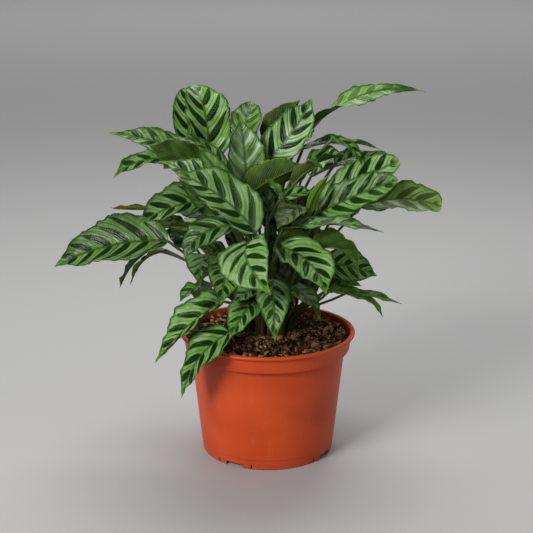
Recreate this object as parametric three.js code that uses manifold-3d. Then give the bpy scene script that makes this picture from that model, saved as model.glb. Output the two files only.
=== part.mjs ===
// Potted calathea in a plain nursery pot. Units are millimetres and +Z is up.
// The origin is the centre of the pot's underside. The plant's best side faces -Y.
import * as THREE from 'three';
import { mergeVertices } from 'three/addons/utils/BufferGeometryUtils.js';
import Module from 'manifold-3d';

const wasm = await Module();
wasm.setup();

// Pot: a moulded grow pot, 160 mm over the lip and 113 mm high
const POT_HEIGHT = 113;
const LIP_RADIUS = 80;
const LIP_HEIGHT = 3;
const LIP_EDGE = 0.5;
const LIP_BEVEL = 1;
const BAND_TOP_RADIUS = 76.7;
const BAND_LOW_RADIUS = 75.2;
const BAND_HEIGHT = 16;
const BODY_TOP_RADIUS = 70.5;
const BASE_RADIUS = 60;
const POT_WALL = 1.5;
const STEP_DEPTH = 1.2;
const SEAM_HEIGHT = 9;
const SEAM_RELIEF = 0.4;
const ROUND_SIDES = 40;

// Underside: a flat centre disc and a foot ring, with a raised channel between them.
// Slots and pairs of slits cut through the foot ring, at turns in degrees round the pot.
const CENTRE_DISC_RADIUS = 30;
const CHANNEL_HEIGHT = 4.5;
const DRAIN_TURNS = [-30, 60, 150, 240];
const DRAIN_SLOT = { width: 17.6, height: 4 };
const DRAIN_SLIT = { width: 1.6, height: 4.4, offset: 16 };
const DRAIN_CUT_DEPTH = 12;
const DRAIN_CUT_BELOW = 1;

// Soil: it fills the pot to just under the lip, mounded a little at the crown.
// Its lumps are waves along X, Y and the diagonal, in radians a millimetre.
const FIT_GAP = 0.35;
const SOIL_EDGE_HEIGHT = 106.5;
const SOIL_CROWN_HEIGHT = 109.5;
const SOIL_RINGS = [0.8, 0.58, 0.3];
const SOIL_LUMP = 0.9;
const LUMP_WAVE = { x: 0.31, y: 0.27, diagonal: 0.17 };
const LUMP_START = { x: 1.3, y: 0.4 };
const DIAGONAL_SHARE = 0.6;

// Crown: where the stems stand, each in a hole of its own in the soil
const CROWN_RADIUS = 25;
const CROWN_PULL = 0.85;
const CROWN_BACK = 12;
const ROOT_SPACING = 6;
const ROOT_SETTLING_STEPS = 120;
const HOLE_RADIUS = 2.25;
const HOLE_SIDES = 5;

// Stems: each rises straight, then arrives at its blade along the rib
const STEM_RADIUS = 1.5;
const STEM_DEPTH = 8;
const STEM_JOINTS = 4;
const STEM_SPACING = 4.4;
const STEM_PUSH = 0.3;
const STEM_SETTLING_STEPS = 70;
const SAMPLES_PER_JOINT = 8;
const ARRIVAL_LIFT = 0.9;
const ARRIVAL_REACH = 0.25;

// Blades: places along the rib and across it, the thickness at the rib, and the outline.
// The half width goes as t to the roundness times (1 - t) to the taper, with t from base to tip.
const BLADE_STATIONS = [0.05, 0.16, 0.29, 0.43, 0.57, 0.71, 0.86, 1];
const OVER_PLACES = [-1, -0.5, 0, 0.5, 1];
const UNDER_PLACES = [0.5, 0, -0.5];
const BLADE_THICKNESS = 1;
const BASE_ROUNDNESS = 0.5;
const TIP_TAPER = 0.82;
const TIP_HALF_WIDTH = 0.5;
const LOBE_REACH = 0.22;

// Waves of a blade's margins: how many, how far one side runs ahead of the other, and how far
// each leaf runs ahead of the last, in radians. They are calm near the base.
const WAVES_PER_BLADE = 2.2;
const WAVE_SHIFT = 2.1;
const PHASE_STEP = 2.4;
const CALM_START = 0.08;

const LEAF_COLOUR = 0x4f8a4a;
const POT_COLOUR = 0xb8502c;
const SOIL_COLOUR = 0x3a2a20;

// Each leaf: base and tip of its blade, how far the rib bows off the straight line between them,
// and the way the upper side faces; then its width, the fold of each half in degrees, the height
// of the waves along the margin, and the turn of the base against the tip in degrees.
const LEAVES = [
  // Left side
  [[-87, -25, 202], [-190, -15, 176], [0, 0, 8], [0, -0.7, 0.7], 51, 26, 3, 0],
  [[-104, -20, 194], [-133, -10, 155], [-3, 0, 3], [-0.7, 0.2, 0.5], 20, 10, 1.5, 0],
  [[-89, -29, 195], [-121, -31, 164], [-4, 0, 7], [-0.7, 0.2, 0.7], 18, 10, 2, 0],
  [[-50, -52, 244], [-109, -66, 227], [0, 0, 5], [0, -0.65, 0.75], 38, 31, 2, 0],
  [[-38, -16, 263], [-141, 3, 293], [0, 0, 6.5], [0, -0.72, 0.7], 26, 20, 2.5, 0],
  [[-55, -30, 272], [-101, -36, 289], [0, 0, -1], [0.3, 0.9, 0.02], 30, 20, 2, 0],
  [[-74, -6, 270], [-134, -20, 257], [-5, 0, 8], [0, -0.6, 0.8], 20, 20, 2, 0],
  [[-27, -56, 224], [-90, -42, 276], [6, 0, 7], [0.2, -0.7, 0.7], 42, 24, 2.5, 0],
  [[-30, -37, 264], [-68, -37, 298], [0, 0, 3], [0.2, -0.6, 0.7], 14, 15, 1, 0],
  [[-10, -78, 223], [-76, -70, 272], [4, 0, 5], [0.3, -0.75, 0.65], 46, 26, 2.5, 0],
  [[-28, -76, 229], [-69, -86, 202], [-7, 0, 6], [-0.2, -0.65, 0.7], 28, 8, 2, 0],
  [[-32, -28, 223], [-83, -28, 230], [0, 0, 2], [0, -0.5, 0.85], 30, 18, 2, 0],
  [[-51, -44, 195], [-56, -85, 176], [-3, -2, 5], [-0.45, -0.6, 0.75], 33, 22, 2, 0],
  [[-33, -74, 196], [-38, -118, 173], [0, -3, 5], [0.25, -0.6, 0.8], 37, 18, 2, 0],
  [[-60, -58, 170], [-75, -66, 159], [0, 0, 2], [-0.4, -0.6, 0.7], 15, 30, 1, 0],
  [[-38, -45, 153], [-100, -40, 94], [1, 0, 8], [-0.3, -0.35, 0.85], 43, 25, 2.5, 0],
  [[-33, -60, 129], [-75, -68, 72], [-5, -2, 8], [-0.6, -0.5, 0.6], 42, 14, 2, 0],
  // Front and centre
  [[-16, -86, 216], [2, -140, 189], [-9, 0, 4], [-0.55, -0.4, 0.75], 49, 16, 2, 0],
  [[-10, -66, 164], [-32, -98, 137], [1, -2, 4], [-0.2, -0.6, 0.75], 30, 16, 2, 0],
  [[-8, -58, 169], [-28, -84, 162], [0, 0, 3], [-0.1, -0.5, 0.85], 24, 16, 1.5, 0],
  [[4, -76, 182], [6, -108, 138], [0, -4, 3], [0, -0.85, 0.5], 31, 16, 2, 0],
  [[1, 17, 210], [3, -4, 176], [0, -4, 7], [0, -0.9, 0.4], 10, 15, 1.5, 0],
  [[-19, -30, 244], [34, -20, 269], [-2, 0, 2], [-0.2, 0.95, 0.2], 35, 30, 2, 0],
  [[11, -42, 244], [39, -36, 249], [0, 0, 1], [0, -0.7, 0.7], 15, 30, 1, 0],
  [[28, -42, 237], [8, -66, 223], [0, 0, 3], [-0.2, -0.6, 0.8], 28, 18, 1.5, 0],
  [[34, -41, 227], [53, -51, 267], [-3, 0, 2], [0.3, 0.9, 0.2], 10, 25, 1, 0],
  // Right side
  [[13, -58, 205], [48, -97, 175], [5, 0, 6], [0.3, -0.6, 0.7], 44, 12, 2, 0],
  [[18, -42, 162], [45, -72, 144], [3, 0, 6], [0.4, -0.5, 0.7], 27, 16, 1.5, 0],
  [[52, -38, 161], [120, -20, 143], [0, 0, 3], [0, -0.45, 0.9], 12, 18, 1.5, 0],
  [[50, -26, 182], [97, -20, 169], [0, 0, 3], [0.1, -0.8, 0.4], 31, 16, 2, 0],
  [[38, -48, 201], [79, -50, 174], [7, 0, 12], [0.1, 0.65, 0.75], 33, 36, 2, 0],
  [[13, -59, 222], [98, -57, 218], [0, 0, 6], [0, -0.25, 0.95], 20, 15, 2, 0],
  [[42, -23, 227], [115, -11, 271], [0, 0, 4], [-0.3, -0.75, 0.6], 37, 20, 2, 0],
  [[43, -31, 228], [110, -51, 262], [0, 0, 2], [-0.2, -0.7, 0.7], 35, 12, 2.5, 0],
  [[81, -14, 230], [153, -12, 230], [0, 0, 7], [0, -0.65, 0.78], 33, 20, 2.5, 0],
  // Top
  [[32, 27, 291], [141, 30, 326], [0, 0, 15], [0, -0.94, 0.34], 28, 8, 2, 130],
  [[-1, -8, 270], [39, 10, 323], [3, -3, -1], [-0.1, -0.8, 0.5], 38, 20, 2.5, 0],
  [[-5, 13, 288], [29, 28, 319], [0, 3, -1], [0.1, 0.9, 0.3], 24, 18, 2, 0],
  [[-53, 12, 265], [-67, 40, 330], [5, -8, 8], [0.45, -0.9, 0.3], 45, 20, 3, 0],
  [[-71, 36, 272], [-73, 50, 327], [0, -6, 3], [0.1, -0.9, 0.3], 29, 16, 2, 0],
  [[-22, 4, 288], [-14, 38, 316], [0, 0, 3], [0, -0.75, 0.6], 29, 16, 2, 0],
  [[-18, -20, 247], [-24, -10, 309], [1, -3, 0], [0.3, -0.9, 0.2], 37, 22, 2, 0],
  [[22, -30, 254], [44, -25, 269], [0, 0, 3], [0, 0.7, 0.5], 18, 30, 1, 0],
  [[31, 0, 280], [100, 12, 277], [0, 0, 7], [0, -0.4, 0.9], 13, 18, 2, 0],
  [[34, -14, 267], [69, -13, 276], [0, 0, 2], [0, -0.2, 1], 24, 40, 1.5, 0],
  [[60, 12, 264], [98, 25, 268], [0, 0, 3], [0, -0.5, 0.85], 22, 18, 2, 0],
  // Far side
  [[40, 45, 246], [98, 82, 250], [0, 0, 6], [0.3, 0.3, 0.9], 40, 20, 2.5, 0],
  [[58, 42, 204], [96, 100, 208], [0, 0, 7], [0.4, 0.4, 0.8], 44, 20, 2.5, 0],
  [[45, 52, 158], [92, 105, 128], [0, 0, 8], [0.4, 0.5, 0.7], 40, 18, 2.5, 0],
  [[15, 58, 262], [38, 126, 272], [0, 0, 7], [0.1, 0.4, 0.9], 42, 20, 2.5, 0],
  [[14, 66, 215], [34, 145, 200], [0, 0, 8], [0.2, 0.5, 0.8], 46, 20, 2.5, 0],
  [[8, 60, 160], [12, 125, 122], [0, 0, 8], [0, 0.6, 0.7], 42, 18, 2.5, 0],
  [[-20, 60, 262], [-46, 124, 276], [0, 0, 7], [-0.1, 0.4, 0.9], 42, 20, 2.5, 0],
  [[-25, 66, 212], [-60, 138, 204], [0, 0, 8], [-0.2, 0.5, 0.8], 44, 20, 2.5, 0],
  [[-32, 55, 162], [-66, 112, 126], [0, 0, 8], [-0.3, 0.6, 0.7], 42, 18, 2.5, 0],
  [[-55, 45, 240], [-100, 84, 246], [0, 0, 6], [-0.3, 0.3, 0.9], 42, 20, 2.5, 0],
  [[-60, 38, 198], [-132, 70, 180], [0, 0, 7], [-0.4, 0.4, 0.8], 46, 20, 2.5, 0],
  [[-42, 32, 147], [-70, 76, 114], [0, 0, 7], [-0.4, 0.5, 0.7], 38, 18, 2.5, 0],
];

// What only some leaves have: a stem that sways clear of its neighbours, another taper towards
// the tip, or two lobes that reach back beside the stem. The keys are the leaves' numbers.
const SWAYS = {
  2: [0, 6, 8], 3: [0, -5, 8], 6: [4, -8, -4], 15: [6, -10, 12], 16: [0, 0, 6],
  30: [0, 0, 6], 32: [6, 8, 0], 37: [-8, 5, 0], 44: [8, -4, 0],
};
const TAPERS = {
  13: 1.6, 14: 1.1, 17: 1.2, 20: 1.1, 21: 1.25, 28: 1.4, 31: 1.6, 33: 0.5,
  34: 0.6, 35: 0.35, 36: 1.5, 39: 0.6, 40: 0.5, 41: 0.9, 44: 1.1,
};
const LOBES = { 18: 9, 27: 8 };

// Shared helpers
const MERGE_DISTANCE = 1e-3;
const vec = (a) => new THREE.Vector3(...a);
const mix = (a, b, t) => a.clone().lerp(b, t);

function merged(geometry) {
  geometry.deleteAttribute('normal');
  geometry.deleteAttribute('uv');
  return mergeVertices(geometry, MERGE_DISTANCE);
}

function toSolid(geometry) {
  const shape = merged(geometry);
  const positions = new Float32Array(shape.attributes.position.array);
  const triangles = new Uint32Array(shape.index.array);
  return new wasm.Manifold(new wasm.Mesh({ numProp: 3, vertProperties: positions, triVerts: triangles }));
}

function toGeometry(solid) {
  const mesh = solid.getMesh();
  const geometry = new THREE.BufferGeometry();
  geometry.setAttribute('position', new THREE.Float32BufferAttribute(mesh.vertProperties, 3));
  geometry.setIndex(new THREE.BufferAttribute(new Uint32Array(mesh.triVerts), 1));
  return geometry;
}

function material(colour, roughness) {
  return new THREE.MeshStandardMaterial({ color: colour, roughness, metalness: 0 });
}

// A turned solid about Z, from [radius, height] points that run up the outside
function turned(profile) {
  const points = profile.map(([radius, height]) => new THREE.Vector2(radius, height));
  const geometry = new THREE.LatheGeometry(points, ROUND_SIDES);
  return geometry.rotateX(Math.PI / 2);
}

// Pot
const BAND_BOTTOM = POT_HEIGHT - BAND_HEIGHT;
const STEP_BOTTOM = BAND_BOTTOM - STEP_DEPTH;

function bodyRadius(height) {
  return THREE.MathUtils.lerp(BASE_RADIUS, BODY_TOP_RADIUS, height / STEP_BOTTOM);
}

function potProfile() {
  const floorTop = CHANNEL_HEIGHT + POT_WALL;
  const innerFoot = BASE_RADIUS - 2 * POT_WALL;
  const lipUnder = POT_HEIGHT - LIP_HEIGHT;
  const outside = [
    [0, 0],
    [CENTRE_DISC_RADIUS, 0],
    [CENTRE_DISC_RADIUS + POT_WALL, CHANNEL_HEIGHT],
    [innerFoot, CHANNEL_HEIGHT],
    [innerFoot, 0],
    [BASE_RADIUS, 0],
    [bodyRadius(SEAM_HEIGHT), SEAM_HEIGHT],
    [bodyRadius(SEAM_HEIGHT) + SEAM_RELIEF, SEAM_HEIGHT + SEAM_RELIEF],
    [BODY_TOP_RADIUS, STEP_BOTTOM],
    [BAND_LOW_RADIUS, BAND_BOTTOM],
    [BAND_TOP_RADIUS, lipUnder],
    [LIP_RADIUS - LIP_EDGE, lipUnder],
    [LIP_RADIUS, lipUnder + LIP_BEVEL],
    [LIP_RADIUS - LIP_EDGE, POT_HEIGHT - LIP_EDGE],
    [LIP_RADIUS - 3 * LIP_EDGE, POT_HEIGHT],
  ];
  const inside = [
    [BAND_TOP_RADIUS - POT_WALL + LIP_BEVEL, POT_HEIGHT],
    [BAND_TOP_RADIUS - POT_WALL, POT_HEIGHT - LIP_BEVEL],
    [BAND_LOW_RADIUS - POT_WALL, BAND_BOTTOM],
    [BODY_TOP_RADIUS - POT_WALL, STEP_BOTTOM],
    [bodyRadius(floorTop) - POT_WALL, floorTop],
    [0, floorTop],
  ];
  return [...outside, ...inside];
}

// A box that cuts the foot ring at one place round the pot
function footCutter(width, height, turn) {
  const geometry = new THREE.BoxGeometry(width, DRAIN_CUT_DEPTH, height + DRAIN_CUT_BELOW);
  geometry.translate(0, -BASE_RADIUS, (height - DRAIN_CUT_BELOW) / 2);
  geometry.rotateZ(THREE.MathUtils.degToRad(turn));
  return toSolid(geometry);
}

function makePot() {
  let pot = toSolid(turned(potProfile()));
  for (const turn of DRAIN_TURNS) {
    pot = pot.subtract(footCutter(DRAIN_SLOT.width, DRAIN_SLOT.height, turn));
    for (const side of [-DRAIN_SLIT.offset, DRAIN_SLIT.offset]) {
      pot = pot.subtract(footCutter(DRAIN_SLIT.width, DRAIN_SLIT.height, turn + side));
    }
  }
  return toGeometry(pot);
}

// Soil
function soilHeight(x, y) {
  const fromCentre = Math.hypot(x, y) / BAND_LOW_RADIUS;
  const mound = THREE.MathUtils.lerp(SOIL_CROWN_HEIGHT, SOIL_EDGE_HEIGHT, fromCentre ** 2);
  const alongX = Math.sin(x * LUMP_WAVE.x + LUMP_START.x);
  const alongY = Math.cos(y * LUMP_WAVE.y + LUMP_START.y);
  const diagonal = DIAGONAL_SHARE * Math.sin((x - y) * LUMP_WAVE.diagonal);
  return mound + SOIL_LUMP * (alongX * alongY + diagonal);
}

function soilHole(root) {
  const height = 2 * STEM_DEPTH;
  const hole = new THREE.CylinderGeometry(HOLE_RADIUS, HOLE_RADIUS, height, HOLE_SIDES);
  hole.rotateX(Math.PI / 2);
  hole.translate(root.x, root.y, root.z - FIT_GAP + height / 2);
  return toSolid(hole);
}

function makeSoil(roots) {
  const floorTop = CHANNEL_HEIGHT + POT_WALL + FIT_GAP;
  const clear = POT_WALL + FIT_GAP;
  const edge = BAND_LOW_RADIUS - clear;
  const profile = [
    [0, floorTop],
    [bodyRadius(floorTop) - clear, floorTop],
    [BODY_TOP_RADIUS - clear, STEP_BOTTOM],
    [edge, BAND_BOTTOM + FIT_GAP],
    [edge, SOIL_EDGE_HEIGHT],
    ...SOIL_RINGS.map((share) => [edge * share, SOIL_CROWN_HEIGHT]),
    [0, SOIL_CROWN_HEIGHT],
  ];
  const geometry = merged(turned(profile));
  const position = geometry.attributes.position;
  const halfwayUpBand = (BAND_BOTTOM + SOIL_EDGE_HEIGHT) / 2;
  for (let i = 0; i < position.count; i += 1) {
    if (position.getZ(i) > halfwayUpBand) {
      position.setZ(i, soilHeight(position.getX(i), position.getY(i)));
    }
  }
  return toGeometry(roots.reduce((soil, root) => soil.subtract(soilHole(root)), toSolid(geometry)));
}

// Crown: each root stands towards its own leaf, high leaves innermost, and they push apart.
// The crown as a whole stands a little behind the pot's centre.
function crownRoots() {
  const heights = LEAVES.map(([base]) => base[2]);
  const lowest = Math.min(...heights);
  const highest = Math.max(...heights);
  const roots = LEAVES.map(([base]) => {
    const inwards = (base[2] - lowest) / (highest - lowest);
    const direction = new THREE.Vector2(base[0], base[1]).normalize();
    return direction.multiplyScalar(CROWN_RADIUS * (1 - CROWN_PULL * inwards));
  });
  for (let step = 0; step < ROOT_SETTLING_STEPS; step += 1) {
    for (let i = 0; i < roots.length; i += 1) {
      for (let j = i + 1; j < roots.length; j += 1) {
        const apart = roots[j].clone().sub(roots[i]);
        const distance = apart.length();
        if (distance < ROOT_SPACING) {
          const push = apart.multiplyScalar((ROOT_SPACING - distance) / 2 / distance);
          roots[i].sub(push);
          roots[j].add(push);
        }
      }
    }
  }
  return roots.map((root) => {
    const y = root.y + CROWN_BACK;
    return new THREE.Vector3(root.x, y, soilHeight(root.x, y) - STEM_DEPTH);
  });
}

// Leaves
class Leaf {
  constructor([base, tip, bow, facing, width, fold, wave, twist], index) {
    const number = index + 1;
    this.name = `leaf_${String(number).padStart(2, '0')}`;
    this.base = vec(base);
    this.rib = ribCurve(this.base, vec(tip), vec(bow));
    this.facing = vec(facing);
    this.width = width;
    this.fold = THREE.MathUtils.degToRad(fold);
    this.wave = wave;
    this.twist = THREE.MathUtils.degToRad(twist);
    this.phase = index * PHASE_STEP;
    this.sway = vec(SWAYS[number] ?? [0, 0, 0]);
    this.taper = TAPERS[number] ?? TIP_TAPER;
    this.lobe = LOBES[number] ?? 0;
  }
}

// The rib's middle lies the bow's length off the straight line
function ribCurve(base, tip, bow) {
  const offset = bow.multiplyScalar(4 / 3);
  const first = mix(base, tip, 1 / 3).add(offset);
  const second = mix(base, tip, 2 / 3).add(offset);
  return new THREE.CubicBezierCurve3(base, first, second, tip);
}

// A stem rises straight out of the soil and bends over into its blade
function stemPath(leaf, root) {
  const start = new THREE.Vector3(root.x, root.y, root.z + STEM_DEPTH + 1);
  const arrival = leaf.rib.getTangent(0).add(new THREE.Vector3(0, 0, ARRIVAL_LIFT)).normalize();
  const reach = ARRIVAL_REACH * leaf.base.distanceTo(start);
  const first = start.clone().setZ(mix(start, leaf.base, 0.5).z);
  const second = leaf.base.clone().addScaledVector(arrival, -reach).add(leaf.sway);
  return new THREE.CubicBezierCurve3(start, first, second, leaf.base).getPoints(STEM_JOINTS);
}

// Stems that would touch push each other apart, and their two ends stay where they are
function settleStems(paths) {
  const steps = STEM_JOINTS * SAMPLES_PER_JOINT;
  for (let pass = 0; pass < STEM_SETTLING_STEPS; pass += 1) {
    const samples = paths.map((path) => Array.from({ length: steps }, (_, k) => {
      const joint = Math.floor(k / SAMPLES_PER_JOINT);
      return mix(path[joint], path[joint + 1], (k % SAMPLES_PER_JOINT) / SAMPLES_PER_JOINT);
    }));
    const pushes = paths.map((path) => path.map(() => new THREE.Vector3()));
    const push = (stem, k, force) => {
      const joint = Math.floor(k / SAMPLES_PER_JOINT);
      const share = (k % SAMPLES_PER_JOINT) / SAMPLES_PER_JOINT;
      pushes[stem][joint].addScaledVector(force, 1 - share);
      pushes[stem][joint + 1].addScaledVector(force, share);
    };
    for (let i = 0; i < paths.length; i += 1) {
      for (let j = i + 1; j < paths.length; j += 1) {
        for (let a = 0; a < steps; a += 1) {
          for (let b = 0; b < steps; b += 1) {
            const apart = samples[j][b].distanceTo(samples[i][a]);
            if (apart < STEM_SPACING) {
              const force = samples[j][b].clone().sub(samples[i][a]);
              force.multiplyScalar((STEM_PUSH * (STEM_SPACING - apart)) / apart);
              push(j, b, force);
              push(i, a, force.negate());
            }
          }
        }
      }
    }
    paths.forEach((path, i) => {
      for (let k = 1; k < STEM_JOINTS; k += 1) {
        path[k].add(pushes[i][k]);
      }
    });
  }
  return paths;
}

// Points along a stem with the direction at each, from the foot of its hole up to the blade
function stemStops(path, root) {
  const upright = new THREE.Vector3(0, 0, 1);
  const stops = path.map((point, k) => {
    const before = path[Math.max(0, k - 1)];
    const after = path[Math.min(STEM_JOINTS, k + 1)];
    return [point, after.clone().sub(before).normalize()];
  });
  stops[0][1] = upright;
  return [[root, upright], ...stops];
}

// Half width at t along the rib, which is half the leaf's width where it is widest
function halfWidth(width, taper, t) {
  const curve = (u) => u ** BASE_ROUNDNESS * (1 - u) ** taper;
  const widest = BASE_ROUNDNESS / (BASE_ROUNDNESS + taper);
  return Math.max(TIP_HALF_WIDTH, ((width / 2) * curve(t)) / curve(widest));
}

// Height of a blade over its rib line at a place across it, from -1 to 1
function bladeHeight(leaf, half, across, t) {
  const fold = half * Math.sin(leaf.fold) * across ** 2;
  const shift = across > 0 ? WAVE_SHIFT : 0;
  const calm = Math.sin(Math.PI * Math.min(1, t + CALM_START)) ** 0.5;
  const ripple = Math.sin(2 * Math.PI * WAVES_PER_BLADE * t + leaf.phase + shift);
  return fold + leaf.wave * calm * ripple * across ** 2;
}

function bladeRing(leaf, t) {
  const centre = leaf.rib.getPoint(t);
  const along = leaf.rib.getTangent(t);
  const up = leaf.facing.clone().projectOnPlane(along).normalize();
  up.applyAxisAngle(along, -leaf.twist * (1 - t) ** 2);
  const side = along.clone().cross(up);
  const half = halfWidth(leaf.width, leaf.taper, t);
  const lobe = leaf.lobe * Math.max(0, 1 - t / LOBE_REACH) ** 2;
  const place = (across, lift) => centre.clone()
    .addScaledVector(side, half * across * Math.cos(leaf.fold))
    .addScaledVector(along, -lobe * across ** 2)
    .addScaledVector(up, bladeHeight(leaf, half, across, t) + lift);
  const thick = BLADE_THICKNESS / 2;
  const over = OVER_PLACES.map((across) => place(across, Math.abs(across) === 1 ? 0 : thick));
  const under = UNDER_PLACES.map((across) => place(across, -thick));
  return { ring: [...over, ...under], side };
}

function stemRing(centre, along, side) {
  const up = side.clone().cross(along).normalize();
  const corners = OVER_PLACES.length + UNDER_PLACES.length;
  return Array.from({ length: corners }, (_, corner) => {
    const angle = Math.PI - (corner * 2 * Math.PI) / corners;
    return centre.clone()
      .addScaledVector(side, STEM_RADIUS * Math.cos(angle))
      .addScaledVector(up, STEM_RADIUS * Math.sin(angle));
  });
}

function leafRings(leaf, root, path) {
  const blade = BLADE_STATIONS.map((t) => bladeRing(leaf, t));
  let side = blade[0].side;
  const stem = stemStops(path, root).reverse().map(([centre, along]) => {
    side = side.clone().projectOnPlane(along).normalize();
    return stemRing(centre, along, side);
  });
  return [...stem.reverse(), ...blade.map(({ ring }) => ring)];
}

// Skin over rings of eight: positions 0 to 4 run over the top and 5 to 7 back underneath.
// Quads on both faces are cut along the same diagonal, so that a waved blade never meets itself.
function skin(rings) {
  const sides = rings[0].length;
  const positions = rings.flat().flatMap(({ x, y, z }) => [x, y, z]);
  const triangles = [];
  for (let r = 0; r + 1 < rings.length; r += 1) {
    for (let k = 0; k < sides; k += 1) {
      const a = r * sides + k;
      const b = r * sides + ((k + 1) % sides);
      const c = a + sides;
      const d = b + sides;
      const overTheTop = k < sides / 2;
      triangles.push(...(overTheTop ? [a, d, c, a, b, d] : [a, b, c, b, d, c]));
    }
  }
  const last = (rings.length - 1) * sides;
  for (const [over, under] of [[1, 7], [2, 6], [3, 5]]) {
    const near = over - 1;
    const far = (under + 1) % sides;
    triangles.push(near, under, over);
    triangles.push(last + near, last + over, last + under);
    if (near !== far) {
      triangles.push(near, far, under);
      triangles.push(last + near, last + under, last + far);
    }
  }
  triangles.push(3, 5, 4, last + 3, last + 4, last + 5);
  const geometry = new THREE.BufferGeometry();
  geometry.setAttribute('position', new THREE.Float32BufferAttribute(positions, 3));
  geometry.setIndex(triangles);
  return geometry;
}

// The whole plant in its pot
const group = new THREE.Group();

function addMesh(name, geometry, finish) {
  const mesh = new THREE.Mesh(geometry, finish);
  mesh.name = name;
  group.add(mesh);
}

const roots = crownRoots();
addMesh('pot', makePot(), material(POT_COLOUR, 0.45));
addMesh('soil', makeSoil(roots), material(SOIL_COLOUR, 0.95));

const leaves = LEAVES.map((row, index) => new Leaf(row, index));
const stems = settleStems(leaves.map((leaf, index) => stemPath(leaf, roots[index])));
const leafFinish = material(LEAF_COLOUR, 0.4);
leaves.forEach((leaf, index) => {
  addMesh(leaf.name, skin(leafRings(leaf, roots[index], stems[index])), leafFinish);
});

export default group;
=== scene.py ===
# Potted calathea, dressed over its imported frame.
# The tables and formulas hold millimetres, as the part's source does, and every mesh is made in metres.
import math
from functools import partialmethod
from itertools import combinations

import bpy
import numpy as np
from numpy.linalg import norm
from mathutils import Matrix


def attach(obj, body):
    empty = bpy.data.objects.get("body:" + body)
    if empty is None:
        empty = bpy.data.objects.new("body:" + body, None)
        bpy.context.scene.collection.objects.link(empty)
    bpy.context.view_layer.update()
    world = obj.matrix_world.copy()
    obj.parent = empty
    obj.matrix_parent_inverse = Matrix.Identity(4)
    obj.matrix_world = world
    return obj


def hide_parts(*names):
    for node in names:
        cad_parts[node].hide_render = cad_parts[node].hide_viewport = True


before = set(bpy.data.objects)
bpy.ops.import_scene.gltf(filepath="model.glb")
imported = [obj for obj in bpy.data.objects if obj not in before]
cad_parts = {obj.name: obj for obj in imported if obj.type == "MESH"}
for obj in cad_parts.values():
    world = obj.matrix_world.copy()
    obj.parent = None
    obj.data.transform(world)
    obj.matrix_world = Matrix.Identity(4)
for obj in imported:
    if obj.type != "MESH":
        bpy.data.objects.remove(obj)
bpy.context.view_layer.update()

SCENE = bpy.context.scene
MM = 0.001

# Camera: the photograph's viewing angle
CAMERA_PLACE = (-0.001, -1.042, 0.460)
CAMERA_TILT = 74.56
CAMERA_LENS = 80.85
CAMERA_SENSOR = 36

# Pot, as in the part's source
POT_HEIGHT = 113
LIP_RADIUS = 80
LIP_HEIGHT = 3
BAND_TOP_RADIUS = 76.7
BAND_LOW_RADIUS = 75.2
BAND_HEIGHT = 16
BODY_TOP_RADIUS = 70.5
BASE_RADIUS = 60
POT_WALL = 1.5
STEP_DEPTH = 1.2
SEAM_HEIGHT = 9
SEAM_RELIEF = 0.4
CENTRE_DISC_RADIUS = 30
CHANNEL_HEIGHT = 4.5
DRAIN_TURNS = (-30, 60, 150, 240)
DRAIN_SLOT = (17.6, 4)
DRAIN_SLIT = (1.6, 4.4)
DRAIN_SLIT_OFFSET = 16
DRAIN_CUT_DEPTH = 12
DRAIN_CUT_BELOW = 1
BAND_BOTTOM = POT_HEIGHT - BAND_HEIGHT
STEP_BOTTOM = BAND_BOTTOM - STEP_DEPTH
FLOOR_TOP = CHANNEL_HEIGHT + POT_WALL

# Detail of the pot: its sides, pieces of a fillet's arc and the most of an edge that it takes, and
# the angle in degrees from which an edge stays sharp
POT_SIDES = 160
FILLET_PIECES = 5
FILLET_LIMIT = 0.45
SHARP_EDGE = 40

# Soil and stems, as in the part's source. The lumps are waves, in radians a millimetre.
FIT_GAP = 0.35
SOIL_EDGE_HEIGHT = 106.5
SOIL_CROWN_HEIGHT = 109.5
SOIL_LUMP = 0.9
LUMP_WAVES = (0.31, 0.27, 0.17)
LUMP_STARTS = (1.3, 0.4)
DIAGONAL_SHARE = 0.6
STEM_DEPTH = 8
CROWN_RADIUS = 25
CROWN_PULL = 0.85
CROWN_BACK = 12
ROOT_SPACING = 6
ROOT_SETTLING_STEPS = 120
STEM_JOINTS = 4
STEM_SPACING = 4.4
STEM_PUSH = 0.3
STEM_SETTLING_STEPS = 70
SAMPLES_PER_JOINT = 8
ARRIVAL_LIFT = 0.9
ARRIVAL_REACH = 0.25

# Blades, as in the part's source
BASE_ROUNDNESS = 0.5
TIP_TAPER = 0.82
WAVES_PER_BLADE = 2.2
WAVE_SHIFT = 2.1
PHASE_STEP = 2.4
CALM_START = 0.08
LOBE_REACH = 0.22

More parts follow.
